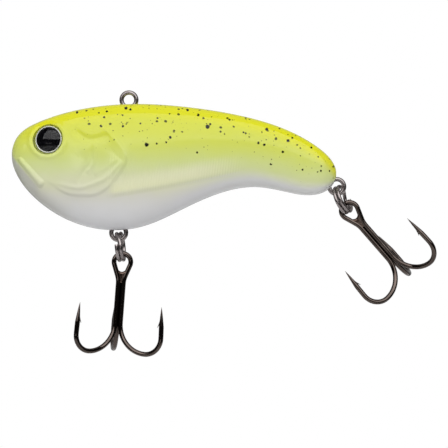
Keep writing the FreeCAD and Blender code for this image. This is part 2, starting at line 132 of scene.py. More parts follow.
# each hanging set: the ring's lean, twist and crossover, how far and which way the hook's eye sits
# from the ring's middle line, the shank's direction and the hook's turn about it
HANGING = {
    "belly": dict(hanger="belly_hanger", lean=-84.0, twist=3.0, crossover=-45.0, seat=(0.42, -66.0),
                  shank=-94.3, turn=-8.5),
    "tail": dict(hanger="tail_hanger", lean=-65.0, twist=22.0, crossover=200.0, seat=(0.3, 35.0),
                 shank=-48.9, turn=10.6),
}
SIDES = {"left": -1, "right": 1}


# ---- curves and meshes ----

def flat_dir(degrees):
    """A direction in the XZ plane, counted from +X towards +Z."""
    angle = math.radians(degrees)
    return np.array([math.cos(angle), 0.0, math.sin(angle)])


def at_xz(point, y=0.0):
    return np.array([point[0], y, point[1]])


def arc(centre, radius, start, end, steps):
    """Points along an arc in a plane, from one angle to another in degrees."""
    angles = np.radians(np.linspace(start, end, steps + 1))
    return np.stack([centre[0] + radius * np.cos(angles), centre[1] + radius * np.sin(angles)], axis=1)


def smooth(value, low, high):
    """0 below low, 1 above high, and a smooth rise between."""
    share = np.clip((value - low) / (high - low), 0.0, 1.0)
    return share * share * (3 - 2 * share)


def closed_spline(points, samples):
    """A smooth closed curve through the points, spaced by their chords."""
    points = np.array(points, float)
    count = len(points)
    following = np.roll(points, -1, axis=0)
    step = np.linalg.norm(following - points, axis=1)
    before = np.roll(step, 1)
    system = np.zeros((count, count))
    slopes = (following - points) / step[:, None]
    right = 6 * (slopes - np.roll(slopes, 1, axis=0))
    for i in range(count):
        system[i, i] += 2 * (before[i] + step[i])
        system[i, i - 1] += before[i]
        system[i, (i + 1) % count] += step[i]
    bend = np.linalg.solve(system, right)
    curve = []
    for i in range(count):
        j = (i + 1) % count
        t = np.linspace(0, 1, samples, endpoint=False)[:, None]
        s = 1 - t
        square = step[i] ** 2 / 6
        curve.append(s * points[i] + t * points[j]
                     + square * ((s ** 3 - s) * bend[i] + (t ** 3 - t) * bend[j]))
    return curve


class Outline:
    """A closed smooth curve from the nose over the upper points to the tail and back below."""

    def __init__(self, nose, upper, tail, lower):
        curve = closed_spline([nose] + upper + [tail] + lower[::-1], 200)
        count = len(upper) + 1
        self.over = np.vstack(curve[:count] + [np.array([tail])])
        self.under = np.vstack([np.array([nose]), np.vstack(curve[count:])[::-1]])

    def upper(self, x):
        return np.interp(x, self.over[:, 0], self.over[:, 1])

    def lower(self, x):
        return np.interp(x, self.under[:, 0], self.under[:, 1])


PROFILE = Outline(NOSE, BACK, TAIL, BELLY)
PLAN = Outline((NOSE[0], 0.0), HALF_WIDTH, (TAIL[0], 0.0), [(x, -y) for x, y in HALF_WIDTH])


def linked(name, data):
    made = bpy.data.objects.new(name, data)
    bpy.context.scene.collection.objects.link(made)
    return made


def mesh_object(name, vertices, faces):
    """A mesh in millimetres becomes an object in metres."""
    mesh = bpy.data.meshes.new(name)
    mesh.from_pydata((np.asarray(vertices) * MM).tolist(), [], faces)
    return linked(name, mesh)


def smooth_shaded(mesh, sharp):
    """Smooth shading apart from edges sharper than an angle in degrees."""
    mesh.polygons.foreach_set("use_smooth", [True] * len(mesh.polygons))
    mesh.set_sharp_from_angle(angle=math.radians(sharp))


def add_piece(name, shape, slot, body, node):
    """A piece that rides on a body and stands for a CAD node. shape is (vertices, faces)."""
    piece = mesh_object(name, *shape)
    piece.data.validate()
    piece.data.materials.append(MATERIALS[slot])
    smooth_shaded(piece.data, 40.0)
    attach(piece, body)
    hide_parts(node)
    return piece


def joined(parts):
    """Several (vertices, faces) as one."""
    vertices = []
    faces = []
    total = 0
    for some, more in parts:
        vertices.append(np.asarray(some, float))
        faces += [tuple(i + total for i in face) for face in more]
        total += len(some)
    return np.vstack(vertices), faces


def tube(path, radii, sides=24, closed=False, normal=(0.0, 1.0, 0.0)):
    """A tube along a path. radii holds one radius, or one for each axis, for each point."""
    path = np.asarray(path, float)
    count = len(path)
    if closed:
        tangents = np.roll(path, -1, axis=0) - np.roll(path, 1, axis=0)
    else:
        tangents = np.gradient(path, axis=0)
    tangents /= np.linalg.norm(tangents, axis=1)[:, None]
    radii = np.asarray(radii, float)
    if radii.ndim < 2:
        radii = np.repeat(np.broadcast_to(radii, count)[:, None], 2, axis=1)
    across = np.asarray(normal, float)
    angles = np.linspace(0, 2 * math.pi, sides, endpoint=False)
    vertices = []
    for i in range(count):
        across = across - tangents[i] * across.dot(tangents[i])
        across /= np.linalg.norm(across)
        other = np.cross(tangents[i], across)
        ring = (np.outer(np.cos(angles) * radii[i, 0], across)
                + np.outer(np.sin(angles) * radii[i, 1], other))
        vertices.append(path[i] + ring)
    faces = []
    for i in range(count if closed else count - 1):
        a = i * sides
        b = ((i + 1) % count) * sides
        for k in range(sides):
            m = (k + 1) % sides
            faces.append((a + k, a + m, b + m, b + k))
    if not closed:
        faces.append(tuple(range(sides))[::-1])
        faces.append(tuple(range((count - 1) * sides, count * sides)))
    return np.vstack(vertices), faces


def lathe(profile, centre, axis, segments=96):
    """A closed solid of revolution. The profile's points are (radius, height), from the axis at the
    bottom to the axis at the top."""
    axis = np.asarray(axis, float)
    axis = axis / np.linalg.norm(axis)
    first = np.cross(axis, (0.0, 0.0, 1.0))
    first /= np.linalg.norm(first)
    second = np.cross(axis, first)
    angles = np.linspace(0, 2 * math.pi, segments, endpoint=False)
    spokes = np.outer(np.cos(angles), first) + np.outer(np.sin(angles), second)
    inner = profile[1:-1]
    vertices = [centre + axis * profile[0][1]]
    for radius, height in inner:
        vertices += list(centre + axis * height + spokes * radius)
    vertices.append(centre + axis * profile[-1][1])
    faces = []
    for k in range(segments):
        m = (k + 1) % segments
        faces.append((0, 1 + m, 1 + k))
        for i in range(len(inner) - 1):
            a = 1 + i * segments
            b = a + segments
            faces.append((a + k, a + m, b + m, b + k))
        last = 1 + (len(inner) - 1) * segments
        faces.append((last + k, last + m, len(vertices) - 1))
    return np.array(vertices), faces


# ---- materials ----

# paint, in metres: its height is Z, with the colours hanging lower towards the tail
PAINT_SPAN = (-0.0260, -0.0010)
PAINT_DROOP = 0.0024
PAINT_DROOP_REACH = (0.022, 0.040)
PAINT_WANDER = 0.0003
PAINT_STOPS = [
    (0.00, (0.77, 0.77, 0.79)),
    (0.08, (0.76, 0.76, 0.77)),
    (0.17, (0.71, 0.71, 0.70)),
    (0.26, (0.69, 0.68, 0.59)),
    (0.34, (0.71, 0.72, 0.50)),
    (0.42, (0.69, 0.72, 0.44)),
    (0.50, (0.66, 0.73, 0.32)),
    (0.58, (0.65, 0.72, 0.22)),
    (0.66, (0.68, 0.74, 0.14)),
    (0.76, (0.67, 0.72, 0.075)),
    (1.00, (0.70, 0.72, 0.030)),
]

# the ribbed panel's lower edge: z = PANEL_EDGE_Z + PANEL_SLOPE x + PANEL_CURVE x squared
PANEL_EDGE_Z = -0.0192
PANEL_SLOPE = 0.165
PANEL_CURVE = 1.4
# where the edge's colours rise and fall: along X, and above the edge
PANEL_REACH = ((-0.0045, -0.0020), (0.0120, 0.0250))
CREAM_BAND = ((0.0, 0.0012), (0.0016, 0.0046))
# the thin darker line below the cream band is painted shade, in the crease where the flank's panel turns
# under
PANEL_SHADE_BAND = ((-0.0006, 0.0), (0.0001, 0.0008))
PANEL_SHADE_SHARE = 0.25
CREAM = (0.78, 0.79, 0.52)
PANEL_CREASE_SHADE = (0.52, 0.53, 0.30)

# yellow down to a depth below the back, starting behind the snout
BACK_YELLOW = (0.78, 0.77, 0.014)
YELLOW_DEPTH = (0.0008, 0.0038)
YELLOW_START = (-0.0225, -0.0170)
YELLOW_SHARE = 0.9

# the mouth's lower edge: z + MOUTH_SLOPE x = MOUTH_LEVEL. The throat starts at a level of x + z.
MOUTH_SLOPE = 1.15
MOUTH_LEVEL = -0.0378
MOUTH_BLUR = 0.0012
MOUTH_END = (-0.0190, -0.0160)
MOUTH_SHADE_SHARE = 0.85
THROAT = (-0.0410, -0.0330)
# painted shade: the grey below the mouth and at the throat stands for shade on the head's lower side,
# over white paint
CHIN_PAINTED_SHADE = (0.52, 0.52, 0.48)

# pearl where the skin faces down: the normal's Z, and its start along X
PEARL = (0.74, 0.74, 0.76)
PEARL_FACING = (-0.60, -0.15)
PEARL_START = (0.0, 0.012)
PEARL_SHARE = 0.9

# sprayed specks: their grid, the share of its cells that stay empty, the largest radius, the depths
# between which they fade out, and where along X they reach full size
SPECK_CELL = 0.00085
SPECK_EMPTY = 0.40
SPECK_RADIUS = 0.00033
SPECK_FADE = (0.0025, 0.0125)
SPECK_START = (-0.0125, -0.0065)
SPECK_SNOUT_SIZE = 0.35
# in shares of a cell: the smallest radius, and the edge's blur
SPECK_LEAST = 0.1
SPECK_EDGE = (-0.03, 0.10)
SPECK_COVER = 0.95
SPECK_SHAKE = 0.00030
SPECK_COLOUR = (0.004, 0.005, 0.001)
SMALL_SPECK_COLOUR = (0.040, 0.048, 0.002)
# depth that the curve of the back's outline spans, in millimetres
BACK_CURVE_DEPTH = 20.0
# The larger specks: x, z and radius in millimetres, and the shares of the radius that the edge spans.
# Their places were read from the photograph. They were then scaled for perspective outside this
# script, and the rows below are the scaled values.
BIG_SPECK_EDGE = (0.65, 1.2)
BIG_SPECKS = [
    (-10.3, -2.7, 0.28), (-8.4, -2.4, 0.2), (-5.8, -2.9, 0.2), (-4.7, -3.8, 0.24),
    (-4.2, -2.6, 0.25), (-5.3, -5.6, 0.22), (-0.9, -5.7, 0.27), (-0.4, -1.9, 0.36),
    (0.5, -2.2, 0.28), (2.6, -5.1, 0.22), (6.0, -4.0, 0.22), (3.9, -9.4, 0.44), (5.9, -9.2, 0.22),
    (7.8, -8.9, 0.24), (8.6, -7.9, 0.3), (12.0, -2.3, 0.28), (14.1, -3.3, 0.29),
    (13.9, -10.9, 0.24), (16.0, -5.7, 0.44), (16.5, -5.2, 0.24), (20.0, -3.9, 0.24),
    (23.2, -6.8, 0.22), (26.2, -8.9, 0.29), (27.4, -9.3, 0.27), (27.9, -6.1, 0.35),
    (28.7, -13.2, 0.24), (32.2, -8.4, 0.36), (31.1, -10.7, 0.24), (36.9, -9.8, 0.24),
    (35.1, -14.3, 0.22), (38.8, -14.5, 0.22),
]


class Graph:
    """Short ways to add nodes to a tree."""

    def __init__(self, tree):
        self.tree = tree

    def node(self, kind, inputs=None, **settings):
        made = self.tree.nodes.new(kind)
        for key, value in settings.items():
            setattr(made, key, value)
        self.fill(made, inputs or {})
        return made

    def fill(self, node, inputs):
        """Links or sets each input. Three numbers for a colour with four get an alpha of 1."""
        for key, value in inputs.items():
            socket = node.inputs[key]
            if isinstance(value, bpy.types.NodeSocket):
                self.tree.links.new(value, socket)
            elif socket.type == "RGBA" and len(value) == 3:
                socket.default_value = (*value, 1.0)
            else:
                socket.default_value = value

    def math(self, operation, a, b=0.0):
        return self.node("ShaderNodeMath", {0: a, 1: b}, operation=operation).outputs["Value"]

    def ranged(self, value, low, high, to_low=0.0, to_high=1.0, kind="SMOOTHSTEP"):
        inputs = {"Value": value, "From Min": low, "From Max": high, "To Min": to_low, "To Max": to_high}
        return self.node("ShaderNodeMapRange", inputs, interpolation_type=kind).outputs["Result"]

    def window(self, value, rise, fall):
        """1 between the two edges. Each edge is a (start, end) pair."""
        return self.math("MULTIPLY", self.ranged(value, *rise), self.ranged(value, *fall, 1.0, 0.0))

    def ramp(self, value, stops):
        """Colours over 0 to 1. stops holds (place, colour) pairs."""
        made = self.node("ShaderNodeValToRGB", {"Fac": value})
        ramp = made.color_ramp
        ramp.interpolation = "B_SPLINE"
        while len(ramp.elements) < len(stops):
            ramp.elements.new(1.0)
        for element, (place, colour) in zip(ramp.elements, stops):
            element.position = place
            element.color = (*colour, 1.0)
        return made.outputs["Color"]

    def mix(self, share, a, b):
        made = self.node("ShaderNodeMix", data_type="RGBA")
        self.fill(made, {0: share, 6: a, 7: b})
        return made.outputs[2]


class Shade(Graph):
    """A material with a Principled shader."""

    def __init__(self, name):
        self.material = bpy.data.materials.new(name)
        self.material.use_nodes = True
        super().__init__(self.material.node_tree)
        self.shader = self.tree.nodes["Principled BSDF"]
        self.coords = self.node("ShaderNodeTexCoord").outputs["Object"]

    def noise(self, scale, detail=2.0, distortion=0.0):
        inputs = {"Vector": self.coords, "Scale": scale, "Detail": detail, "Distortion": distortion}
        return self.node("ShaderNodeTexNoise", inputs).outputs["Fac"]

    def bump(self, height, distance, strength):
        inputs = {"Height": height, "Distance": distance, "Strength": strength}
        self.fill(self.shader, {"Normal": self.node("ShaderNodeBump", inputs).outputs["Normal"]})

    def surface(self, **inputs):
        self.fill(self.shader, {key.replace("_", " "): value for key, value in inputs.items()})
        return self.material


def panel_paint(shade, paint, x, z):
    """The ribbed panel's lower edge: a cream band over a thin line of painted shade along its crease."""
    slope = shade.math("ADD", shade.math("MULTIPLY", x, PANEL_CURVE), PANEL_SLOPE)
    edge = shade.math("ADD", shade.math("MULTIPLY", x, slope), PANEL_EDGE_Z)
    over = shade.math("SUBTRACT", z, edge)
    reach = shade.window(x, *PANEL_REACH)
    band = shade.math("MULTIPLY", shade.window(over, *CREAM_BAND), reach)
    paint = shade.mix(band, paint, CREAM)
    # painted shade along the crease under the panel
    line = shade.math("MULTIPLY", shade.window(over, *PANEL_SHADE_BAND), reach)
    return shade.mix(shade.math("MULTIPLY", line, PANEL_SHADE_SHARE), paint, PANEL_CREASE_SHADE)


def chin_painted_shade(shade, paint, x, z):
    """Painted shade below the mouth and at the throat: the paint there is greyed to stand for shade."""
    under_mouth = shade.math("ADD", z, shade.math("MULTIPLY", x, MOUTH_SLOPE))
    mouth_shade = shade.ranged(under_mouth, MOUTH_LEVEL - MOUTH_BLUR, MOUTH_LEVEL, 1.0, 0.0)
    mouth_shade = shade.math("MULTIPLY", mouth_shade, shade.ranged(x, *MOUTH_END, MOUTH_SHADE_SHARE, 0.0))
    throat = shade.ranged(shade.math("ADD", x, z), *THROAT, 1.0, 0.0)
    return shade.mix(shade.math("MAXIMUM", mouth_shade, throat), paint, CHIN_PAINTED_SHADE)


def paint_colours(shade, x, z, depth):
    """Pearl white below, cream at the panel's lower edge over a thin line of painted shade, chartreuse
    above, yellow along the back and painted shade under the mouth and at the throat."""
    wander = shade.ranged(shade.noise(260.0), 0.3, 0.7, -PAINT_WANDER, PAINT_WANDER, "LINEAR")
    droop = shade.ranged(x, *PAINT_DROOP_REACH, 0.0, PAINT_DROOP)
    height = shade.math("ADD", shade.math("ADD", z, droop), wander)
    share = shade.ranged(height, *PAINT_SPAN, kind="LINEAR")
    paint = shade.ramp(share, PAINT_STOPS)
    paint = panel_paint(shade, paint, x, z)
    top = shade.ranged(depth, *YELLOW_DEPTH, YELLOW_SHARE, 0.0)
    top = shade.math("MULTIPLY", top, shade.ranged(x, *YELLOW_START))
    paint = shade.mix(top, paint, BACK_YELLOW)
    # painted shade under the mouth and at the throat
    paint = chin_painted_shade(shade, paint, x, z)
    normal = shade.node("ShaderNodeNewGeometry").outputs["Normal"]
    facing = shade.node("ShaderNodeSeparateXYZ", {"Vector": normal}).outputs["Z"]
    underside = shade.ranged(facing, *PEARL_FACING, PEARL_SHARE, 0.0)
    underside = shade.math("MULTIPLY", underside, shade.ranged(x, *PEARL_START))
    return shade.mix(underside, paint, PEARL)


def under_back(shade, x, z):
    """Depth below the back's outline."""
    share = shade.ranged(x, NOSE[0] * MM, TAIL[0] * MM, kind="LINEAR")
    curve = shade.node("ShaderNodeFloatCurve", {"Value": share})
    points = curve.mapping.curves[0].points
    length = TAIL[0] - NOSE[0]
    places = [((px - NOSE[0]) / length, 1 + pz / BACK_CURVE_DEPTH) for px, pz in BACK]
    while len(points) < len(places):
        points.new(0.5, 0.5)
    for point, where in zip(points, places):
        point.location = where
    curve.mapping.update()
    back = shade.ranged(curve.outputs["Value"], 0.0, 1.0, -BACK_CURVE_DEPTH * MM, 0.0, "LINEAR")
    return shade.math("SUBTRACT", back, z)


def vector_math(shade, operation, inputs):
    return shade.node("ShaderNodeVectorMath", inputs, operation=operation).outputs


def shaken(shade):
    """Coordinates with a fine ragged shake, so that specks have uneven edges."""
    shake = shade.node("ShaderNodeTexNoise", {"Vector": shade.coords, "Scale": 2600.0, "Detail": 1.0})
    shift = vector_math(shade, "SUBTRACT", {0: shake.outputs["Color"], 1: (0.5, 0.5, 0.5)})
    shift = vector_math(shade, "SCALE", {0: shift["Vector"], "Scale": SPECK_SHAKE})
    return vector_math(shade, "ADD", {0: shade.coords, 1: shift["Vector"]})["Vector"]


def sprayed_specks(shade, where, x, depth):
    """Small specks in cells, fewer and smaller with depth and towards the snout."""
    start = shade.ranged(x, *SPECK_START, SPECK_SNOUT_SIZE, 1.0)
    cells = shade.node("ShaderNodeTexVoronoi", {"Vector": where, "Scale": 1 / SPECK_CELL})
    luck = shade.node("ShaderNodeSeparateColor", {"Color": cells.outputs["Color"]})
    largest = SPECK_RADIUS / SPECK_CELL
    size = shade.ranged(luck.outputs["Red"], SPECK_EMPTY, 1.0, SPECK_LEAST, largest, "LINEAR")
    fade = shade.ranged(depth, *SPECK_FADE, 1.0, 0.0)
    size = shade.math("MULTIPLY", shade.math("MULTIPLY", size, fade), start)
    edge = shade.math("SUBTRACT", size, cells.outputs["Distance"])
    return shade.ranged(edge, *SPECK_EDGE, 0.0, SPECK_COVER)


def placed_specks(shade, where):
    """The larger specks, each in its own place on both sides."""
    flat = vector_math(shade, "MULTIPLY", {0: where, 1: (1.0, 0.0, 1.0)})["Vector"]
    dark = 0.0
    for x, z, radius in BIG_SPECKS:
        away = vector_math(shade, "DISTANCE", {0: flat, 1: (x * MM, 0.0, z * MM)})["Value"]
        blur = [radius * share * MM for share in BIG_SPECK_EDGE]
        layer = shade.ranged(away, *blur, 1.0, 0.0)
        dark = shade.math("MAXIMUM", dark, layer)
    return dark


def painted_material():
    """Chartreuse over pearl white under a clear coat, with dark specks sprayed on the back."""
    shade = Shade("painted_body")
    place = shade.node("ShaderNodeSeparateXYZ", {"Vector": shade.coords})
    x = place.outputs["X"]
    z = place.outputs["Z"]
    depth = under_back(shade, x, z)
    paint = paint_colours(shade, x, z, depth)
    where = shaken(shade)
    colour = shade.mix(sprayed_specks(shade, where, x, depth), paint, SMALL_SPECK_COLOUR)
    colour = shade.mix(placed_specks(shade, where), colour, SPECK_COLOUR)
    shade.bump(shade.noise(9000.0, 1.0), 0.000004, 0.4)
    return shade.surface(Base_Color=colour, Roughness=0.5, Specular_IOR_Level=0.0, Coat_Weight=1.0,
                         Coat_Roughness=0.04, Coat_IOR=1.34, IOR=1.4)


def wire_material(name, dark, light, roughness, patch, streak):
    """Plated wire: slow drifts of tint, finer changes of gloss and small pits."""
    shade = Shade(name)
    tint = shade.ranged(shade.noise(patch, 3.0, distortion=0.6), 0.35, 0.65)
    colour = shade.mix(tint, dark, light)
    rough = shade.ranged(shade.noise(streak, 3.0), 0.3, 0.7, roughness * 0.75, roughness * 1.4, "LINEAR")
    shade.bump(shade.noise(streak * 1.6, 2.0), 0.00001, 0.35)
    return shade.surface(Base_Color=colour, Metallic=1.0, Roughness=rough)


def foil_material():
    """Bright foil with a fine grain."""
    shade = Shade("silver_foil")
    fine = shade.noise(2600.0, 2.0)
    colour = shade.mix(fine, (0.22, 0.22, 0.19), (0.60, 0.60, 0.54))
    rough = shade.ranged(fine, 0.3, 0.7, 0.16, 0.34, "LINEAR")
    shade.bump(shade.noise(1500.0, 1.0), 0.00003, 0.4)
    return shade.surface(Base_Color=colour, Metallic=1.0, Roughness=rough)


def pupil_material():
    """Flat black, without any gloss of its own under the lens."""
    shade = Shade("pupil_black")
    tone = shade.mix(shade.noise(1800.0), (0.003, 0.003, 0.004), (0.006, 0.006, 0.008))
    return shade.surface(Base_Color=tone, Roughness=0.9, Specular_IOR_Level=0.0)


def lens_material():
    """Clear moulded plastic, very slightly uneven."""
    shade = Shade("clear_lens")
    rough = shade.ranged(shade.noise(900.0), 0.3, 0.7, 0.0, 0.02, "LINEAR")
    return shade.surface(Base_Color=(0.97, 0.98, 0.98), Transmission_Weight=1.0, Roughness=rough,
                         IOR=1.35)


def lead_material():
    shade = Shade("cast_lead")
    tone = shade.mix(shade.noise(700.0, 4.0), (0.22, 0.23, 0.25), (0.42, 0.43, 0.46))
    shade.bump(shade.noise(1500.0, 3.0), 0.00006, 0.6)
    return shade.surface(Base_Color=tone, Metallic=0.9, Roughness=0.55)


def ball_material():
    shade = Shade("steel_ball")
    rough = shade.ranged(shade.noise(1200.0, 3.0), 0.3, 0.7, 0.05, 0.16, "LINEAR")
    return shade.surface(Base_Color=(0.72, 0.72, 0.74), Metallic=1.0, Roughness=rough)


# by the record's material slots
MATERIALS = {
    "painted_shell": painted_material(),
    "nickel_wire": wire_material("nickel_wire", (0.24, 0.21, 0.205), (0.37, 0.335, 0.33), 0.24,
                                 patch=500.0, streak=3500.0),
    "black_nickel": wire_material("black_nickel", (0.075, 0.060, 0.053), (0.115, 0.092, 0.081), 0.07,
                                  patch=260.0, streak=3000.0),
    "braze": wire_material("braze", (0.07, 0.042, 0.032), (0.20, 0.145, 0.12), 0.24,
                           patch=900.0, streak=4200.0),
    "silver_foil": foil_material(),
    "eye_black": pupil_material(),
    "clear_lens": lens_material(),
    "lead": lead_material(),
    "steel_ball": ball_material(),
}


# ---- the body ----

# grid steps along the body: finest over the head and the ribbed flank
HEAD_STEP = 0.13
FLANK_STEP = 0.14
TAIL_STEP = 0.26
HEAD_END = 2.0
FLANK_END = 27.0
TIP_STEP = 0.03
TIP_GROWTH = 0.16
ROWS = 150
INNER_ROWS = 10

# The head's relief, drawn in the XZ plane. The points of every curve but CHEEK_CREST were scaled
# for perspective outside this script, and these numbers are the scaled values.
COVER_EDGE = [(-6.4, -4.1), (-3.8, -6.5), (-1.8, -8.7), (-0.4, -11.1), (-0.2, -12.2),
              (-1.4, -14.9), (-3.4, -17.4), (-6.2, -19.3), (-8.6, -19.5), (-11.2, -19.3),
              (-14.0, -18.0), (-16.3, -16.5)]
INNER_FOLD = [(-0.8, -12.7), (-3.4, -15.7), (-6.2, -17.2), (-8.6, -18.0), (-12.0, -17.8),
              (-14.6, -17.1)]
UPPER_FOLD = [(-1.5, -12.2), (-3.9, -14.1), (-6.4, -15.7)]
CHEEK_EDGE = [(-7.0, -8.7), (-7.2, -10.8), (-7.4, -12.9), (-9.0, -14.9), (-9.8, -17.2)]
CHEEK_CREST = [(-6.6, -8.3), (-6.6, -10.5), (-6.8, -13.0), (-8.0, -15.2)]
COVER_CREASE = [(-10.8, -6.1), (-7.2, -8.3), (-3.8, -7.3)]
MOUTH = [(-21.7, -12.2), (-19.6, -14.6), (-17.5, -17.0)]
LIP = dict(height=0.46, thin=0.55, thick=0.95)
# plates: curve, height, half width of the edge, reach behind it, and the shares of the curve over
# which it starts and ends
PLATES = [
    (COVER_EDGE, 0.30, 0.42, 4.5, 0.10, 0.16),
    (INNER_FOLD, 0.22, 0.38, 2.4, 0.12, 0.25),
    (UPPER_FOLD, 0.14, 0.36, 1.8, 0.25, 0.30),
    (CHEEK_EDGE, 0.20, 0.40, 2.4, 0.20, 0.25),
]
# ridges, or grooves where the height is negative: curve, height, width, start and end
RIDGES = [
    (COVER_EDGE, 0.08, 0.75, 0.10, 0.16),
    (INNER_FOLD, 0.10, 0.60, 0.12, 0.25),
    (CHEEK_EDGE, -0.12, 0.55, 0.20, 0.20),
    (CHEEK_CREST, 0.16, 0.50, 0.20, 0.20),
    (COVER_CREASE, -0.20, 0.70, 0.25, 0.25),
]
HOLLOW_CENTRE = (-10.1, -9.9)
HOLLOW_SIZE = (2.3, 3.5)
HOLLOW_DEPTH = 0.22
EYE_RIM_R = 3.65
EYE_RIM_WIDTH = 0.5
EYE_RIM_RISE = 0.18

# the ribbed panel on the flank: where it fades in and out, and its ribs
PANEL_FRONT = (-4.4, -3.0)
PANEL_TAIL_END = (20.0, 25.0)
PANEL_TOP = (-13.0, -10.5)
PANEL_EDGE_BLUR = 0.3
PANEL_RISE = 0.025
RIB_RISE = 0.028
RIB_PITCH = 0.52
RIB_LEAN = 0.12

# the groove of the welded seam, and where the relief starts: by the skin's facing and from the seam
SEAM_DROP = 0.035
SEAM_WIDTH = 0.16
RELIEF_FACING = (0.25, 0.6)
RELIEF_START = (0.3, 1.6)


def line_field(points, x, z):
    """For each place: its distance from the curve, which side it lies on (1 on the left of the
    curve's own direction) and its share of the way along."""
    curve = np.vstack(closed_spline(points + points[-2:0:-1], 16))[:16 * (len(points) - 1) + 1]
    away = np.full(x.shape, 1e9)
    side = np.zeros(x.shape)
    along = np.zeros(x.shape)
    for i in range(len(curve) - 1):
        start = curve[i]
        step = curve[i + 1] - start
        dx = x - start[0]
        dz = z - start[1]
        share = np.clip((dx * step[0] + dz * step[1]) / step.dot(step), 0, 1)
        gap = np.hypot(dx - share * step[0], dz - share * step[1])
        near = gap < away
        away = np.where(near, gap, away)
        side = np.where(near, np.sign(step[0] * dz - step[1] * dx), side)
        along = np.where(near, (i + share) / (len(curve) - 1), along)
    return away, side, along


def ends_fade(along, start, end):
    return smooth(along, 0.0, start) * smooth(1 - along, 0.0, end)


def plate(points, x, z, height, edge, reach, start, end):
    """A plate that stands proud on the right side of a curve and sinks away from its edge."""
    away, side, along = line_field(points, x, z)
    signed = -side * away
    step = smooth(signed, -edge, edge)
    return height * step * np.exp(-np.maximum(signed, 0) / reach) * ends_fade(along, start, end)


def ridge(points, x, z, height, width, start, end):
    """A round ridge along a curve, or a groove where the height is negative."""
    away, _, along = line_field(points, x, z)
    return height * np.exp(-(away / width) ** 2) * ends_fade(along, start, end)


def lip(points, x, z, height, thin, thick):
    """A rounded bar that thickens along its curve and ends round."""
    away, _, along = line_field(points, x, z)
    width = thin + (thick - thin) * along
    inside = np.clip(1 - (away / width) ** 2, 0, 1)
    return height * (0.5 + 0.5 * along) * inside * np.sqrt(inside)


def head_relief(x, z):
    """The gill cover, its folds, the cheek, the mouth, the hollow behind the eye and its rim."""
    rise = lip(MOUTH, x, z, **LIP)
    for points, *shape in PLATES:
        rise += plate(points, x, z, *shape)
    for points, *shape in RIDGES:
        rise += ridge(points, x, z, *shape)
    hollow_x = (x - HOLLOW_CENTRE[0]) / HOLLOW_SIZE[0]
    hollow_z = (z - HOLLOW_CENTRE[1]) / HOLLOW_SIZE[1]
    rise -= HOLLOW_DEPTH * np.exp(-hollow_x ** 2 - hollow_z ** 2)
    from_eye = np.hypot(x - EYE_CENTRE[0], z - EYE_CENTRE[1])
    return rise + EYE_RIM_RISE * np.exp(-((from_eye - EYE_RIM_R) / EYE_RIM_WIDTH) ** 2)


def relief(x, z):
    """How far the skin stands out from the plain body, in millimetres."""
    height = np.zeros(x.shape)
    head = x < HEAD_END
    height[head] = head_relief(x[head], z[head])
    edge = (PANEL_EDGE_Z + PANEL_SLOPE * x * MM + PANEL_CURVE * (x * MM) ** 2) / MM
    panel = smooth(x, *PANEL_FRONT) * (1 - smooth(x, *PANEL_TAIL_END)) * (1 - smooth(z, *PANEL_TOP))
    panel *= smooth(z - edge, -PANEL_EDGE_BLUR, PANEL_EDGE_BLUR)
    ribs = np.sin(2 * math.pi * (x - RIB_LEAN * z) / RIB_PITCH)
    return height + panel * (PANEL_RISE + RIB_RISE * ribs)


def stations():
    """X of each cross section, close together at the tips."""
    xs = [NOSE[0]]
    while xs[-1] < TAIL[0]:
        x = xs[-1]
        step = HEAD_STEP if x < HEAD_END else FLANK_STEP if x < FLANK_END else TAIL_STEP
        tip = TIP_STEP + TIP_GROWTH * min(x - NOSE[0], TAIL[0] - x)
        xs.append(x + min(step, tip))
    xs = np.array(xs)
    return NOSE[0] + (xs - NOSE[0]) * (TAIL[0] - NOSE[0]) / (xs[-1] - NOSE[0])


def thinned(size, wall):
    """A half size less about the wall, which stays above zero at the tips."""
    return size * size / (size + wall)


def skin_grid(side, wall, rows):
    """Points of one half's skin, or of its inner face, rows running from the back to the belly."""
    xs = stations()
    top = PROFILE.upper(xs)
    bottom = PROFILE.lower(xs)
    centre = (top + bottom) / 2
    high = thinned((top - bottom) / 2 + 1e-9, wall)
    wide = thinned(PLAN.upper(xs) + 1e-9, wall)
    fine = np.linspace(0.5, -0.5, 721) * math.pi
    across = np.abs(np.cos(fine)) ** (2 / SECTION_POWER)
    up = np.sign(fine) * np.abs(np.sin(fine)) ** (2 / SECTION_POWER)
    across[0] = across[-1] = 0.0
    grid = np.zeros((len(xs), rows + 1, 3))
    middle = (TAIL[0] + NOSE[0]) / 2
    shrink = 1 - 2 * wall / (TAIL[0] - NOSE[0])
    for i, x in enumerate(xs):
        y = wide[i] * across
        z = centre[i] + high[i] * up
        run = np.concatenate([[0], np.cumsum(np.hypot(np.diff(y), np.diff(z)))])
        even = np.linspace(0, run[-1], rows + 1)
        grid[i, :, 0] = middle + (x - middle) * shrink
        grid[i, :, 1] = side * np.interp(even, run, y)
        grid[i, :, 2] = np.interp(even, run, z)
    return grid


def sculpted(grid, side):
    """The skin with its relief, which fades out towards the seam."""
    along = np.gradient(grid, axis=0)
    down = np.gradient(grid, axis=1)
    normal = np.cross(along, down)
    size = np.linalg.norm(normal, axis=2)
    normal /= np.maximum(size, 1e-12)[:, :, None]
    normal *= np.sign(normal[:, :, 1:2] * side + 1e-12)
    height = relief(grid[:, :, 0], grid[:, :, 2])
    seam = np.abs(grid[:, :, 1])
    height *= smooth(np.abs(normal[:, :, 1]), *RELIEF_FACING) * smooth(seam, *RELIEF_START)
    lowered = -SEAM_DROP * np.exp(-(seam / SEAM_WIDTH) ** 2) * smooth(size, 0.0, 1e-3)
    return grid + normal * (height + lowered)[:, :, None]


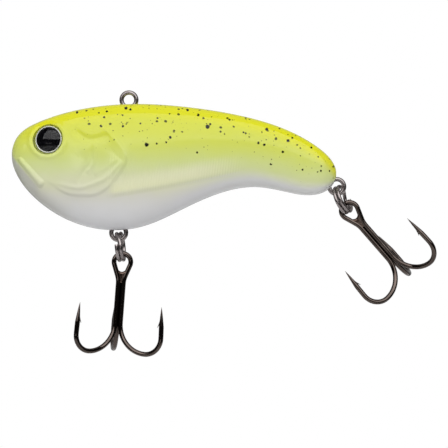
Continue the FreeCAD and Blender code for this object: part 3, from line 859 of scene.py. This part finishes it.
def shell_mesh(side):
    """One half as a closed wall: outer skin, inner face and the rim at the seam."""
    outer = sculpted(skin_grid(side, 0.0, ROWS), side)
    inner = skin_grid(side, WALL, INNER_ROWS)
    outer[:, 0, 1] = outer[:, -1, 1] = 0.0
    inner[:, 0, 1] = inner[:, -1, 1] = 0.0
    columns = outer.shape[0]
    outer_rows = outer.shape[1]
    inner_rows = inner.shape[1]
    vertices = np.vstack([outer.reshape(-1, 3), inner.reshape(-1, 3)])

    def out(i, j):
        return i * outer_rows + j

    def inn(i, j):
        return columns * outer_rows + i * inner_rows + j

    faces = []
    for i in range(columns - 1):
        for j in range(outer_rows - 1):
            faces.append((out(i, j), out(i, j + 1), out(i + 1, j + 1), out(i + 1, j)))
        for j in range(inner_rows - 1):
            faces.append((inn(i, j), inn(i + 1, j), inn(i + 1, j + 1), inn(i, j + 1)))
        faces.append((out(i, 0), out(i + 1, 0), inn(i + 1, 0), inn(i, 0)))
        bottom = outer_rows - 1
        floor = inner_rows - 1
        faces.append((out(i, bottom), inn(i, floor), inn(i + 1, floor), out(i + 1, bottom)))
    if side > 0:
        faces = [face[::-1] for face in faces]
    return vertices, faces


def merge_close(mesh, distance):
    work = bmesh.new()
    work.from_mesh(mesh)
    bmesh.ops.remove_doubles(work, verts=work.verts, dist=distance)
    bmesh.ops.recalc_face_normals(work, faces=work.faces)
    work.to_mesh(mesh)
    work.free()


def cutter(shape):
    tool = mesh_object("cutter", *shape)
    merge_close(tool.data, 1e-7)
    return tool


def cut(piece, tools):
    """Takes the tools out of the piece, and removes them."""
    for tool in tools:
        modifier = piece.modifiers.new("cut", "BOOLEAN")
        modifier.operation = "DIFFERENCE"
        modifier.solver = "EXACT"
        modifier.object = tool
    bpy.context.view_layer.update()
    graph = bpy.context.evaluated_depsgraph_get()
    result = bpy.data.meshes.new_from_object(piece.evaluated_get(graph))
    piece.modifiers.clear()
    piece.data = result
    for tool in tools:
        bpy.data.objects.remove(tool)


def eye_axis(side):
    """The middle of the eye seat's floor, and the direction the eye looks in."""
    look = np.array([EYE_LOOK[0], side * EYE_LOOK[1], EYE_LOOK[2]])
    look /= np.linalg.norm(look)
    x = EYE_CENTRE[0]
    top = PROFILE.upper(x)
    bottom = PROFILE.lower(x)
    up = abs(EYE_CENTRE[1] - (top + bottom) / 2) / ((top - bottom) / 2)
    across = PLAN.upper(x) * (1 - up ** SECTION_POWER) ** (1 / SECTION_POWER)
    return at_xz(EYE_CENTRE, side * across) - look * EYE_SEAT_DEPTH, look


def peanut(eye, into):
    """The closed middle line of a wire form: an eye, a waist and an anchor loop."""
    reach = WAIST_GAP + WAIST_R
    eye_to_waist = math.sqrt((EYE_R + WAIST_R) ** 2 - reach ** 2)
    waist_to_anchor = math.sqrt((ANCHOR_R + WAIST_R) ** 2 - reach ** 2)
    at_eye = math.degrees(math.atan2(reach, eye_to_waist))
    at_anchor = math.degrees(math.atan2(reach, waist_to_anchor))
    far = eye_to_waist + waist_to_anchor
    runs = [
        arc((0, 0), EYE_R, at_eye, 360 - at_eye, 72),
        arc((eye_to_waist, -reach), WAIST_R, 180 - at_eye, at_anchor, 20),
        arc((far, 0), ANCHOR_R, at_anchor - 180, 180 - at_anchor, 60),
        arc((eye_to_waist, reach), WAIST_R, -at_anchor, at_eye - 180, 20),
    ]
    flat = np.vstack([run[:-1] for run in runs])
    along = flat_dir(into)
    across = flat_dir(into + 90)
    return at_xz(eye) + np.outer(flat[:, 0], along) + np.outer(flat[:, 1], across)


def build_shells():
    for name, side in SIDES.items():
        piece = add_piece(name + "_painted_shell", shell_mesh(side), "painted_shell", "lure_body",
                          name + "_shell")
        merge_close(piece.data, 1e-6)
        floor, look = eye_axis(side)
        seat = [(0, 0), (EYE_SEAT_R - EYE_SEAT_FILLET, 0), (EYE_SEAT_R, EYE_SEAT_FILLET),
                (EYE_SEAT_R, EYE_SEAT_CUT), (0, EYE_SEAT_CUT)]
        tools = [cutter(lathe(seat, floor, look, 128))]
        for eye, into in WIRE_FORMS.values():
            tools.append(cutter(tube(peanut(eye, into), WIRE_R + GROOVE_PLAY, 20, closed=True)))
        cut(piece, tools)
        smooth_shaded(piece.data, 50.0)


def build_eyes():
    for name, side in SIDES.items():
        floor, look = eye_axis(side)
        foil = [(0, 0.0), (EYE_FOIL_SEEN_R, 0.0), (EYE_FOIL_SEEN_R, EYE_FOIL_TOP - EYE_FOIL_BEVEL[1]),
                (EYE_FOIL_SEEN_R - EYE_FOIL_BEVEL[0], EYE_FOIL_TOP), (EYE_PUPIL_R, EYE_FOIL_TOP),
                (0, EYE_FOIL_TOP)]
        add_piece(name + "_eye_silver_ring", lathe(foil, floor, look), "silver_foil", "lure_body",
                  name + "_eye_foil")
        rise = [(EYE_PUPIL_R * math.cos(a), EYE_FOIL_TOP + EYE_PUPIL_RISE * math.sin(a))
                for a in np.linspace(0, math.pi / 2, 9)]
        pupil = [(0, EYE_FOIL_TOP)] + rise[:-1] + [(0, EYE_FOIL_TOP + EYE_PUPIL_RISE)]
        add_piece(name + "_eye_black_pupil", lathe(pupil, floor, look), "eye_black", "lure_body",
                  name + "_eye_pupil")
        top = EYE_SEAT_DEPTH + EYE_DOME_RISE
        tall = top - EYE_DOME_RIM_HEIGHT
        ball_r = (EYE_DOME_R ** 2 + tall ** 2) / (2 * tall)
        rim = math.asin(EYE_DOME_R / ball_r)
        cap = [(ball_r * math.sin(a), top - ball_r + ball_r * math.cos(a))
               for a in np.linspace(rim, 0, 25)]
        dome = [(0, EYE_DOME_SEAT), (EYE_DOME_R, EYE_DOME_SEAT)] + cap[:-1] + [(0, top)]
        add_piece(name + "_eye_lens", lathe(dome, floor, look), "clear_lens", "lure_body",
                  name + "_eye_dome")


# ---- wire forms, rings and hooks ----

def build_wire_forms():
    for name, (eye, into) in WIRE_FORMS.items():
        vertices, faces = tube(peanut(eye, into), WIRE_R, 32, closed=True)
        from_eye = vertices - at_xz(eye)
        reach = np.hypot(from_eye[:, 0], from_eye[:, 2])
        inside = reach < EYE_BORE_R
        vertices[inside] += from_eye[inside] * [1, 0, 1] * (EYE_BORE_R / reach[inside] - 1)[:, None]
        add_piece(name + "_wire", (vertices, faces), "nickel_wire", "lure_body", name)


def split_ring(centre, lean, twist, crossover):
    """Two flat coils of one wire with a crossover between them."""
    angles = np.arange(RING_LINK_HALF_ANGLE, 720 - RING_LINK_HALF_ANGLE + 0.1, 3.0)
    crossed = smooth(angles, 360 - RING_LINK_HALF_ANGLE, 360 + RING_LINK_HALF_ANGLE)
    offset = RING_COIL_OFFSET * (2 * crossed - 1)
    turn = np.radians(angles + crossover)
    along = flat_dir(lean)
    across = flat_dir(lean + 90)
    side = np.cross(along, across)
    level = math.cos(math.radians(twist))
    tilt = math.sin(math.radians(twist))
    side, across = (side * level + np.cross(along, side) * tilt,
                    across * level + np.cross(along, across) * tilt)
    path = (centre + np.outer(RING_R * np.cos(turn), side) + np.outer(RING_R * np.sin(turn), along)
            + np.outer(offset, across))
    radii = np.full(len(path), RING_WIRE_R)
    radii[[0, -1]] = RING_END_R
    return tube(path, radii, 24, normal=across)


def hook_run(azimuth):
    """Middle line and radii of one hook, from the start of its bend to its point, and the side that
    it bends to: a wide arc by the shank, a tight arc, and the spear, which leans in a little."""
    side = np.array([0, math.cos(math.radians(azimuth)), math.sin(math.radians(azimuth))])
    middle = HOOK_SHANK_OUT + HOOK_BEND_R
    bend_end = HOOK_BEND_START + HOOK_BEND_R - HOOK_TURN_R
    wide = arc((HOOK_BEND_START, middle), HOOK_BEND_R, -90, 0, 40)
    tight = arc((bend_end, middle), HOOK_TURN_R, 0, 90, 30)[1:]
    spear_at = np.linspace(bend_end, HOOK_POINT_AT, 44)[1:]
    lean_in = HOOK_POINT_IN * ((bend_end - spear_at) / (bend_end - HOOK_POINT_AT)) ** 1.4
    flat = np.vstack([wide, tight, np.stack([spear_at, HOOK_FAR - lean_in], axis=1)])
    path = np.outer(flat[:, 0], (1.0, 0.0, 0.0)) + np.outer(flat[:, 1], side)
    left = np.clip((spear_at - HOOK_POINT_AT) / (HOOK_TAPER_START - HOOK_POINT_AT), 0, 1)
    radii = np.full(len(path), HOOK_WIRE_R)
    radii[-len(spear_at):] = np.maximum(HOOK_WIRE_R * left ** 0.8, 0.02)
    return path, radii, side


def barb(side):
    """A thin sliver cut up from the spear, its tip towards the bend."""
    share = np.linspace(0, 1, 12)
    along = HOOK_BARB_ROOT + HOOK_BARB_LENGTH * share
    root, straight, curl = HOOK_BARB_DEPTH
    out = HOOK_FAR - root - straight * share - curl * share ** 2
    path = np.outer(along, (1.0, 0.0, 0.0)) + np.outer(out, side)
    thin, wide = HOOK_BARB_THICK
    radii = np.stack([thin * (1 - share) ** 0.6 + 0.015, wide * (1 - share) ** 0.7 + 0.02], axis=1)
    return tube(path, radii, 12, normal=side)


def leg_lean():
    """How far each leg leans out from the throat to meet the eye, in radians."""
    reach = math.hypot(HOOK_THROAT, HOOK_SPREAD)
    return math.asin(HOOK_EYE_R / reach) - math.atan2(HOOK_SPREAD, HOOK_THROAT)


def double_hook():
    """One wire from point to point: spear, bend, shank, leg, eye, and the same back."""
    lean = leg_lean()
    halves = []
    for s in (1, -1):
        path, radii, side = hook_run(-90 + s * 60)
        halves.append((path[::-1], radii[::-1], barb(side)))
    touch = math.degrees(lean)
    eye = arc((0, 0), HOOK_EYE_R, 90 - touch, 270 + touch, 60)
    eye = np.stack([eye[:, 0], eye[:, 1], np.full(len(eye), EYE_DROP)], axis=1)
    knee = np.linspace(0, 1, 9)[1:-1, None]

    def leg(s):
        """From the shank through a soft knee at the throat towards the eye."""
        shank = np.array([HOOK_THROAT + HOOK_KNEE[0], s * HOOK_SPREAD, EYE_DROP])
        throat = np.array([HOOK_THROAT, s * HOOK_SPREAD, EYE_DROP])
        end = eye[0] if s > 0 else eye[-1]
        after = throat + (end - throat) * HOOK_KNEE[1]
        turn = shank * (1 - knee) ** 2 + throat * 2 * knee * (1 - knee) + after * knee ** 2
        return np.vstack([shank, turn, after])

    path = np.vstack([halves[0][0], leg(1), eye, leg(-1)[::-1], halves[1][0][::-1]])
    plain = np.full(len(path) - 2 * len(halves[0][1]), HOOK_WIRE_R)
    radii = np.concatenate([halves[0][1], plain, halves[1][1][::-1]])
    return joined([tube(path, radii, 28, normal=(0.0, 0.3, 1.0)), halves[0][2], halves[1][2]])


def third_hook():
    """A straight shank with a rounded end, its bend and its spear."""
    path, radii, side = hook_run(90)
    start = [(HOOK_THIRD_START + shift, 0, HOOK_SHANK_OUT) for shift, _ in HOOK_THIRD_TIP]
    radii = np.concatenate([[radius for _, radius in HOOK_THIRD_TIP], radii])
    return joined([tube(np.vstack([start, path]), radii, 28), barb(side)])


def braze():
    """The web of solder in the throat, hollow at its upper edge and sunk into both legs."""
    lean = leg_lean()
    slope = math.tan(lean)
    across = np.linspace(-1, 1, 25)
    rows = np.linspace(0, 1, 25)
    front = []
    back = []
    for share in rows:
        top = BRAZE_TOP - BRAZE_HOLLOW * across ** 2
        along = top + (BRAZE_BOTTOM - top) * share
        leg_y = np.where(along < HOOK_THROAT, HOOK_SPREAD + (HOOK_THROAT - along) * slope, HOOK_SPREAD)
        rounded = min(1.0, math.sqrt(share / BRAZE_ROUND[0]), math.sqrt((1 - share) / BRAZE_ROUND[1]))
        thick = (BRAZE_MIDDLE + BRAZE_SIDES * across ** 2) * rounded
        y = across * leg_y
        front.append(np.stack([along, y, EYE_DROP - thick], axis=1))
        back.append(np.stack([along, y, EYE_DROP + thick], axis=1))
    size = len(across)
    vertices = np.vstack([np.vstack(front), np.vstack(back)])
    half = size * len(rows)
    faces = []
    for i in range(len(rows) - 1):
        for j in range(size - 1):
            a = i * size + j
            faces.append((a, a + size, a + size + 1, a + 1))
            faces.append((half + a, half + a + 1, half + a + size + 1, half + a + size))
        for a in (i * size, (i + 1) * size - 1):
            b = a + size
            quad = (a, half + a, half + b, b)
            faces.append(quad if a == i * size else quad[::-1])
    return vertices, faces


def hung(vertices, eye, shank, turn):
    """A hook's points turned about its shank, laid along it and moved to its eye."""
    angle = math.radians(turn)
    y = vertices[:, 1]
    z = vertices[:, 2] - EYE_DROP
    turned_y = y * math.cos(angle) - z * math.sin(angle)
    turned_z = y * math.sin(angle) + z * math.cos(angle)
    along = flat_dir(shank)
    across = np.array([along[2], 0.0, -along[0]])
    return (eye + np.outer(vertices[:, 0], along) + np.outer(turned_y, across)
            + np.outer(turned_z, (0, 1, 0)))


def build_hanging():
    pieces = {
        "double_hook": (double_hook(), "black_nickel"),
        "third_hook": (third_hook(), "black_nickel"),
        "braze": (braze(), "braze"),
    }
    for name, hang in HANGING.items():
        eye, _ = WIRE_FORMS[hang["hanger"]]
        along = flat_dir(hang["lean"])
        ring_centre = at_xz(eye) + along * (RING_SEAT + RING_R)
        distance, direction = hang["seat"]
        hook_eye = ring_centre + along * RING_R + flat_dir(direction) * distance
        coils = split_ring(ring_centre, hang["lean"], hang["twist"], hang["crossover"])
        add_piece(name + "_ring_coils", coils, "nickel_wire", name + "_ring", name + "_split_ring")
        for part, ((vertices, faces), slot) in pieces.items():
            node = name + "_treble_" + part
            shape = (hung(vertices, hook_eye, hang["shank"], hang["turn"]), faces)
            add_piece(node + "_wire", shape, slot, name + "_treble", node)


def finish_inner_parts():
    """The weight and the balls inside keep their CAD shapes."""
    slots = {"keel_ballast": "lead", "knocker_ball": "steel_ball"}
    for i in (1, 2, 3):
        slots["rattle_ball_%d" % i] = "steel_ball"
    for node, slot in slots.items():
        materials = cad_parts[node].data.materials
        materials.clear()
        materials.append(MATERIALS[slot])


# ---- the studio ----

CAMERA_AWAY = 0.300
VIEW_CENTRE = (0.0193, -0.0252)
VIEW_WIDTH = 0.0910
SENSOR = 36.0

# radiance of each part of the studio
KEY_LIGHT = 3.05
STRIP_LIGHT = 1.60
TABLE_LIGHT = 1.75
TOP_LIGHT = 0.50
BACK_LIGHT = 0.36
REAR_LIGHT = 0.15
ROOM_LIGHT = 0.035

# the floor, in millimetres: a round plate. Its axis leans a hair, as a lathe's can't be upright.
FLOOR_TOP = -300.0
FLOOR_THICK = 6.0
FLOOR_R = 420.0
FLOOR_RIM = 4.0
FLOOR_AXIS = (0.0, 0.02, 1.0)


def build_camera():
    """A level camera on the lure's left side, as wide as the whole lure."""
    camera = bpy.data.cameras.new("camera")
    camera.sensor_width = SENSOR
    camera.lens = SENSOR * CAMERA_AWAY / VIEW_WIDTH
    camera.clip_start = 0.01
    camera.clip_end = 20.0
    holder = linked("camera", camera)
    holder.location = (VIEW_CENTRE[0], -CAMERA_AWAY, VIEW_CENTRE[1])
    holder.rotation_euler = (math.radians(90), 0, 0)
    bpy.context.scene.camera = holder


def build_world():
    """A white background for the camera. For light and gloss: a softbox in front, a low strip, a
    pale table, a weak light above, a pale wall behind and a dark room. Angles are in degrees round
    from the lure's left side and up from level."""
    world = bpy.data.worlds.new("studio")
    bpy.context.scene.world = world
    world.use_nodes = True
    graph = Graph(world.node_tree)
    graph.tree.nodes.clear()
    coords = graph.node("ShaderNodeTexCoord").outputs["Generated"]
    place = graph.node("ShaderNodeSeparateXYZ", {"Vector": coords})
    ahead = graph.math("MULTIPLY", place.outputs["Y"], -1.0)
    azimuth = graph.math("DEGREES", graph.math("ARCTAN2", place.outputs["X"], ahead))
    elevation = graph.math("DEGREES", graph.math("ARCSINE", place.outputs["Z"]))
    back = graph.ranged(ahead, 0.15, -0.55)
    parts = [
        (KEY_LIGHT, graph.window(azimuth, (-55, -51), (51, 55)),
         graph.window(elevation, (10, 17), (66, 71))),
        (STRIP_LIGHT, graph.window(azimuth, (-40, -30), (-2, 9)),
         graph.window(elevation, (-12, -9), (-6, -4))),
        (TABLE_LIGHT, graph.ranged(elevation, -36, -16, 1.0, 0.0), 1.0),
        (TOP_LIGHT, graph.ranged(elevation, 60, 80), 1.0),
        (BACK_LIGHT, back, graph.ranged(elevation, -20, -8)),
        (REAR_LIGHT, back, graph.window(elevation, (15, 22), (55, 65))),
        (ROOM_LIGHT, 1.0, 1.0),
    ]
    total = 0.0
    for radiance, first, second in parts:
        shape = graph.math("MULTIPLY", first, second)
        total = graph.math("ADD", total, graph.math("MULTIPLY", shape, radiance))
    room = graph.node("ShaderNodeBackground", {"Strength": total}).outputs["Background"]
    white = graph.node("ShaderNodeBackground", {"Color": (1.0, 1.0, 1.0)}).outputs["Background"]
    seen = graph.node("ShaderNodeLightPath").outputs["Is Camera Ray"]
    choose = graph.node("ShaderNodeMixShader", {"Fac": seen, 1: room, 2: white})
    graph.node("ShaderNodeOutputWorld", {"Surface": choose.outputs["Shader"]})


def build_floor():
    """A plain pale round floor, well below the lure."""
    shade = Shade("pale_floor")
    tone = shade.mix(shade.noise(6.0), (0.90, 0.90, 0.90), (0.94, 0.94, 0.94))
    material = shade.surface(Base_Color=tone, Roughness=0.7)
    bottom = FLOOR_TOP - FLOOR_THICK
    profile = [(0, bottom), (FLOOR_R, bottom), (FLOOR_R + FLOOR_RIM, (bottom + FLOOR_TOP) / 2),
               (FLOOR_R, FLOOR_TOP), (0, FLOOR_TOP)]
    floor = mesh_object("floor", *lathe(profile, np.zeros(3), FLOOR_AXIS, 128))
    floor.data.materials.append(material)


build_shells()
build_eyes()
build_wire_forms()
build_hanging()
finish_inner_parts()
build_floor()
build_camera()
build_world()
bpy.context.scene.view_settings.view_transform = "Standard"
